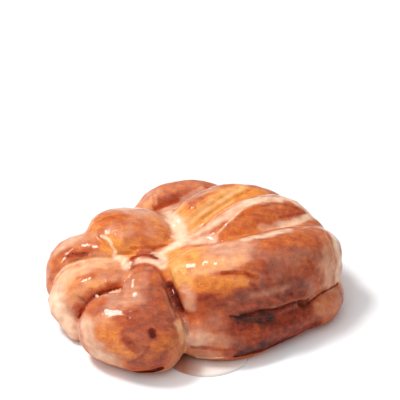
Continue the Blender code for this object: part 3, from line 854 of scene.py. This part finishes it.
def plain_crust(mesh, shaken):
    """Browning and milkiness at each vertex before the patches: mottled, hazy, and paler in the valleys."""
    wide, wide_share = MOTTLE_WIDE
    fine, fine_share = MOTTLE_FINE
    mottle = 0.5 + wide_share * lumps(places_of(mesh), wide, SEED + 40)
    mottle += fine_share * lumps(shaken, fine, SEED + 41)
    haze = smooth_step(lumps(shaken, HAZE_SIZE, SEED + 44), *HAZE_EDGE)
    valley = valleys(mesh)
    least, most = CRUST_RANGE
    brown = least + (most - least) * mottle - VALLEY_PALE * valley
    return brown, np.maximum(VALLEY_MILK * valley, HAZE_MILK * haze)


def paint(mesh, tree):
    """Browning and milkiness at each vertex: the plain crust, then the patches, the glaze and the marks, some
    of them painted shade and painted sheen.
    """
    places = places_of(mesh)
    shaken = warped(places)
    nudged = places + MARK_WARP * (shaken - places)
    fine, fine_share = FINE_FLECKS
    flecks = lumps(places, FLECK_SIZE, SEED + 42) + fine_share * lumps(places, fine, SEED + 43)
    brown, milk = plain_crust(mesh, shaken)
    for name, half_width, strength, pixels in PATCHES.values():
        share = strength * soft_share(shaken, flecks, path_on(tree, pixels), half_width)
        brown += share * (CRUST[name][0] - brown)
        milk += share * (CRUST[name][1] - milk)
    for half_width, strength, pixels in GLAZE.values():
        milk += strength * soft_share(shaken, flecks, line_on(tree, pixels), half_width) * (1 - milk)
    for name, half_width, strength, pixels in MARKS.values():
        share = strength * crisp_share(nudged, line_on(tree, pixels), half_width)
        brown += share * (CRUST[name][0] - brown)
        milk += share * (CRUST[name][1] - milk)
    return brown, np.clip(milk, 0, 1) ** MILK_POWER


def glints(mesh, tree):
    """How wrinkled the glaze is at each vertex."""
    places = places_of(mesh)
    wrinkled = np.zeros(len(places))
    for half_width, strength, pixels in GLINTS.values():
        wrinkled = np.maximum(wrinkled, strength * closeness(places, path_on(tree, pixels), half_width))
    return wrinkled


def add_glaze_lines_and_highlights(mesh, tree):
    """Raises the thin lines of glaze, some of them painted highlights, and returns how much of them there is
    at each vertex.
    """
    places = places_of(mesh)
    total = np.zeros(len(places))
    for half_width, strength, pixels in GLAZE_LINES_AND_HIGHLIGHTS.values():
        total += strength * crisp_share(places, line_on(tree, pixels), half_width) * (1 - total)
    move_to(mesh, places + normals_of(mesh) * LINE_RISE * total[:, None])
    return total**MILK_POWER


def input_of(node, name):
    """A node's input by name or number. Where several share a name, it is the one in use."""
    return next(socket for i, socket in enumerate(node.inputs) if socket.enabled and name in (socket.name, i))


def output_of(node):
    """A node's first output that is in use."""
    return next(socket for socket in node.outputs if socket.enabled)


def add_node(tree, kind, links=(), **settings):
    """Adds a node, sets its properties and input values, and links its inputs."""
    node = tree.nodes.new(kind)
    for name, value in settings.items():
        if hasattr(node, name):
            setattr(node, name, value)
        else:
            input_of(node, name.replace("_", " ")).default_value = value
    for name, socket in dict(links).items():
        tree.links.new(socket, input_of(node, name))
    return node


def scale_of(width):
    """The scale of a noise on Object coordinates whose lumps are about a width in millimetres."""
    return 1 / (width * MM)


def set_ramp(ramp, stops):
    """Gives a colour ramp its stops, as places from 0 to 1 with hex colours."""
    while len(ramp.elements) > 1:
        ramp.elements.remove(ramp.elements[-1])
    ramp.elements[0].position = stops[0][0]
    ramp.elements[0].color = linear(stops[0][1])
    for place, colour in stops[1:]:
        ramp.elements.new(place).color = linear(colour)


def new_material(name):
    """An empty node material: its tree and its Principled shader."""
    material = bpy.data.materials.new(name)
    material.use_nodes = True
    return material, material.node_tree, material.node_tree.nodes["Principled BSDF"]


def glazed_dough():
    """Fried dough under sugar glaze: a mottled brown crust seen through a wet, slightly milky coat."""
    material, tree, shader = new_material("glazed_fried_dough")
    spot = {"Vector": add_node(tree, "ShaderNodeTexCoord").outputs["Object"]}
    # How browned the crust is, with the painted shade of creases and undersides in it
    browned = add_node(tree, "ShaderNodeAttribute", attribute_name="browning_and_shade").outputs["Fac"]
    milk = add_node(tree, "ShaderNodeAttribute", attribute_name="milk").outputs["Fac"]

    # Mottling and grain of fried dough, and specks of cinnamon
    mottle = add_node(
        tree, "ShaderNodeTexNoise", spot, Scale=scale_of(MOTTLE_WIDTH), Detail=4.0, Roughness=0.65
    )
    grain = add_node(tree, "ShaderNodeTexNoise", spot, Scale=scale_of(GRAIN_WIDTH), Detail=2.0, Roughness=0.6)
    grain_on_mottle = {0: grain.outputs["Fac"], 2: mottle.outputs["Fac"]}
    crumbs = add_node(tree, "ShaderNodeMath", grain_on_mottle, operation="MULTIPLY_ADD")
    crumbs.inputs[1].default_value = GRAIN
    uneven = add_node(
        tree, "ShaderNodeMapRange", {"Value": crumbs.outputs["Value"]},
        From_Min=0.5, From_Max=0.95, To_Min=-0.11, To_Max=0.11,
    )
    spots = add_node(tree, "ShaderNodeTexNoise", spot, Scale=scale_of(SPECK_WIDTH), Detail=1.0)
    specks = add_node(
        tree, "ShaderNodeMapRange", {"Value": spots.outputs["Fac"]}, From_Min=0.7, From_Max=0.77, To_Max=0.25
    )
    # Streaks where the dough was pulled, along the ridges
    along = add_node(tree, "ShaderNodeMapping", spot, Rotation=STREAK_TURN, Scale=STREAK_SCALE)
    along = along.outputs["Vector"]
    pulled = add_node(tree, "ShaderNodeTexNoise", {"Vector": along}, Scale=scale_of(STREAK_WIDTH), Detail=3.0)
    streaks = add_node(
        tree, "ShaderNodeMapRange", {"Value": pulled.outputs["Fac"]},
        From_Min=0.3, From_Max=0.7, To_Min=-0.07, To_Max=0.07,
    )
    for change in (streaks, uneven, specks):
        changed = add_node(tree, "ShaderNodeMath", {0: browned, 1: change.outputs["Result"]}, operation="ADD")
        browned = changed.outputs["Value"]
    crust = add_node(tree, "ShaderNodeValToRGB", {"Fac": browned})
    set_ramp(crust.color_ramp, BROWNING)

    # Milky glaze over it, uneven as it dries
    drying = add_node(tree, "ShaderNodeTexNoise", spot, Scale=scale_of(DRYING_WIDTH), Detail=3.0)
    patchy = add_node(
        tree, "ShaderNodeMapRange", {"Value": drying.outputs["Fac"]},
        From_Min=0.3, From_Max=0.7, To_Min=0.7, To_Max=1.25,
    )
    dried = {0: milk, 1: patchy.outputs["Result"]}
    veil = add_node(tree, "ShaderNodeMath", dried, operation="MULTIPLY", use_clamp=True)
    glaze_on_crust = {"Factor": veil.outputs["Value"], "A": crust.outputs["Color"]}
    glazed = add_node(tree, "ShaderNodeMix", glaze_on_crust, data_type="RGBA", B=linear(MILKY_GLAZE))

    # Fine crust, and over it the low waves of the glaze and the wrinkles of its skin
    on_crumbs = {"Height": crumbs.outputs["Value"]}
    crumb = add_node(tree, "ShaderNodeBump", on_crumbs, Strength=0.25, Distance=0.4 * MM)
    waves = add_node(tree, "ShaderNodeTexNoise", spot, Scale=scale_of(WAVE_WIDTH), Detail=2.0, Roughness=0.5)
    on_waves = {"Height": waves.outputs["Fac"]}
    swell = add_node(tree, "ShaderNodeBump", on_waves, Strength=0.1, Distance=0.6 * MM)
    wrinkles = add_node(tree, "ShaderNodeAttribute", attribute_name="wrinkles").outputs["Fac"]
    folds = add_node(
        tree, "ShaderNodeTexNoise", spot, Scale=scale_of(WRINKLE_WIDTH), Detail=2.0, Roughness=0.6
    )
    on_swell = {"Height": folds.outputs["Fac"], "Strength": wrinkles, "Normal": swell.outputs["Normal"]}
    coat = add_node(tree, "ShaderNodeBump", on_swell, Distance=0.9 * MM)
    wet = add_node(tree, "ShaderNodeAttribute", attribute_name="wet").outputs["Fac"]
    tree.links.new(output_of(glazed), shader.inputs["Base Color"])
    tree.links.new(crumb.outputs["Normal"], shader.inputs["Normal"])
    tree.links.new(coat.outputs["Normal"], shader.inputs["Coat Normal"])
    tree.links.new(wet, shader.inputs["Coat Weight"])
    shader.inputs["Roughness"].default_value = 0.5
    shader.inputs["Specular IOR Level"].default_value = 0.0
    shader.inputs["Subsurface Weight"].default_value = 0.08
    shader.inputs["Subsurface Radius"].default_value = (1.0, 0.4, 0.2)
    shader.inputs["Subsurface Scale"].default_value = 1 * MM
    shader.inputs["Coat Roughness"].default_value = 0.08
    shader.inputs["Coat IOR"].default_value = 1.27
    return material


def set_glaze():
    """Sugar glaze that has set: a smooth, wet looking drop, not quite opaque, brown where dough ran in, with
    painted shade beside the dough.
    """
    material, tree, shader = new_material("set_sugar_glaze")
    spot = {"Vector": add_node(tree, "ShaderNodeTexCoord").outputs["Object"]}
    waves = add_node(tree, "ShaderNodeTexNoise", spot, Scale=scale_of(POOL_WAVE_WIDTH), Detail=2.0)
    swell = add_node(tree, "ShaderNodeBump", {"Height": waves.outputs["Fac"]}, Strength=0.2, Distance=1 * MM)
    tree.links.new(swell.outputs["Normal"], shader.inputs["Normal"])
    sides = add_node(tree, "ShaderNodeSeparateXYZ", spot)
    left, right = POOL_BROWN_AND_SHADE
    clean = add_node(
        tree, "ShaderNodeMapRange", {"Value": sides.outputs["X"]}, From_Min=left * MM, From_Max=right * MM
    )
    colour = add_node(
        tree, "ShaderNodeMix", {"Factor": clean.outputs["Result"]},
        data_type="RGBA", A=linear(BROWN_SHADED_PUDDLE), B=linear(WHITE_PUDDLE),
    )
    tree.links.new(output_of(colour), shader.inputs["Base Color"])
    shader.inputs["Roughness"].default_value = 0.12
    shader.inputs["IOR"].default_value = 1.45
    shader.inputs["Subsurface Weight"].default_value = 0.5
    shader.inputs["Subsurface Radius"].default_value = (1.0, 0.8, 0.7)
    shader.inputs["Subsurface Scale"].default_value = 2 * MM
    return material


def white_floor():
    """Matt white board: it stays nearly white and takes a soft shadow."""
    material, _, shader = new_material("matt_white_board")
    shader.inputs["Base Color"].default_value = linear(WHITE_BOARD)
    shader.inputs["Roughness"].default_value = 0.9
    return material


def make_dough():
    """The dough with its relief and glaze, as one piece that stands for the fritter's solid."""
    dough = fused_clumps()
    rest_flat(dough.data)
    bare = tree_of(dough.data)
    milk = paint(dough.data, bare)[1]
    carve(dough.data, bare)
    fill_valleys(dough.data, milk)
    glazed = tree_of(dough.data)
    brown, milk = paint(dough.data, glazed)
    wrinkled = glints(dough.data, glazed)
    lines = add_glaze_lines_and_highlights(dough.data, glazed)
    wet = smooth_step(normals_of(dough.data)[:, 2], *WET)
    store(dough.data, "wet", neighbour_mean(wet, edges_of(dough.data)))
    # Browned crust together with the painted shade of creases and undersides
    store(dough.data, "browning_and_shade", brown)
    # The milkiness also holds the painted highlights of the glaze lines and the painted sheen at the right
    # end
    store(dough.data, "milk", milk + lines * (1 - milk))
    store(dough.data, "wrinkles", wrinkled)
    dough.data.materials.clear()
    dough.data.materials.append(glazed_dough())
    dough.data.shade_smooth()
    return dough


def puddle_loop(bm, share, lift):
    """Adds one ring of the puddle, a share of its reach out and a share of its thickness up."""
    loop = []
    for i in range(POOL_SIDES):
        turn = 2 * math.pi * i / POOL_SIDES
        wave = 1 + sum(height * math.sin(count * turn + start) for count, start, height in POOL_WAVES)
        x = POOL_AT[0] + POOL_REACH[0] * share * wave * math.cos(turn)
        y = POOL_AT[1] + POOL_REACH[1] * share * wave * math.sin(turn)
        loop.append(bm.verts.new((x * MM, y * MM, lift * POOL_THICKNESS * MM)))
    return loop


def make_puddle():
    """The puddle of glaze on the table: flat, with a rounded edge, and reaching in under the dough."""
    bm = bmesh.new()
    rings = POOL_EDGE + [(share, 1.0) for share in POOL_INSIDE]
    loops = [puddle_loop(bm, share, lift) for share, lift in rings]
    for lower, upper in zip(loops, loops[1:]):
        for i in range(POOL_SIDES):
            j = (i + 1) % POOL_SIDES
            bm.faces.new((lower[i], lower[j], upper[j], upper[i]))
    bm.faces.new(loops[-1])
    bm.faces.new(loops[0][::-1])
    puddle = linked("glaze_puddle", bm)
    puddle.data.materials.append(set_glaze())
    puddle.data.shade_smooth()
    return puddle


def make_floor():
    """The floor, which isn't part of the object."""
    bm = bmesh.new()
    bmesh.ops.create_grid(bm, x_segments=1, y_segments=1, size=FLOOR_REACH * MM)
    floor = linked("floor", bm)
    floor.data.materials.append(white_floor())


def aim(obj, place, target):
    """Puts a camera or light at a place and turns it to a target, both in millimetres."""
    obj.location = Vector(place) * MM
    obj.rotation_mode = "QUATERNION"
    obj.rotation_quaternion = (Vector(target) - Vector(place)).to_track_quat("-Z", "Y")


def make_camera():
    """The camera at the photograph's viewing angle."""
    camera = bpy.data.cameras.new("camera")
    camera.lens = LENS
    camera.sensor_width = SENSOR
    camera.clip_start = 10 * MM
    obj = bpy.data.objects.new("camera", camera)
    bpy.context.collection.objects.link(obj)
    aim(obj, CAMERA_AT, CAMERA_AIM)
    bpy.context.scene.camera = obj


def add_light(name, place, size, power):
    """Adds a square soft light that looks at the fritter."""
    light = bpy.data.lights.new(name, "AREA")
    light.size = size * MM
    light.energy = power
    obj = bpy.data.objects.new(name, light)
    bpy.context.collection.objects.link(obj)
    aim(obj, place, LIT_SPOT)
    return obj


def make_light():
    """White surroundings, a light at the upper left, a little behind, and a wide one above without glare."""
    world = bpy.data.worlds.new("white_room")
    world.use_nodes = True
    sky = world.node_tree.nodes["Background"]
    sky.inputs["Color"].default_value = (1, 1, 1, 1)
    sky.inputs["Strength"].default_value = ROOM_LIGHT
    bpy.context.scene.world = world
    add_light("key_light", *KEY_LIGHT)
    top = add_light("top_light", *TOP_LIGHT)
    top.visible_glossy = False
    bpy.context.scene.view_settings.view_transform = "Standard"


def main():
    """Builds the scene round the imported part."""
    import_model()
    dough = make_dough()
    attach(dough, "root")
    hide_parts("fritter")
    puddle = make_puddle()
    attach(puddle, "root")
    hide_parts("glaze_pool")
    make_floor()
    make_camera()
    make_light()


main()
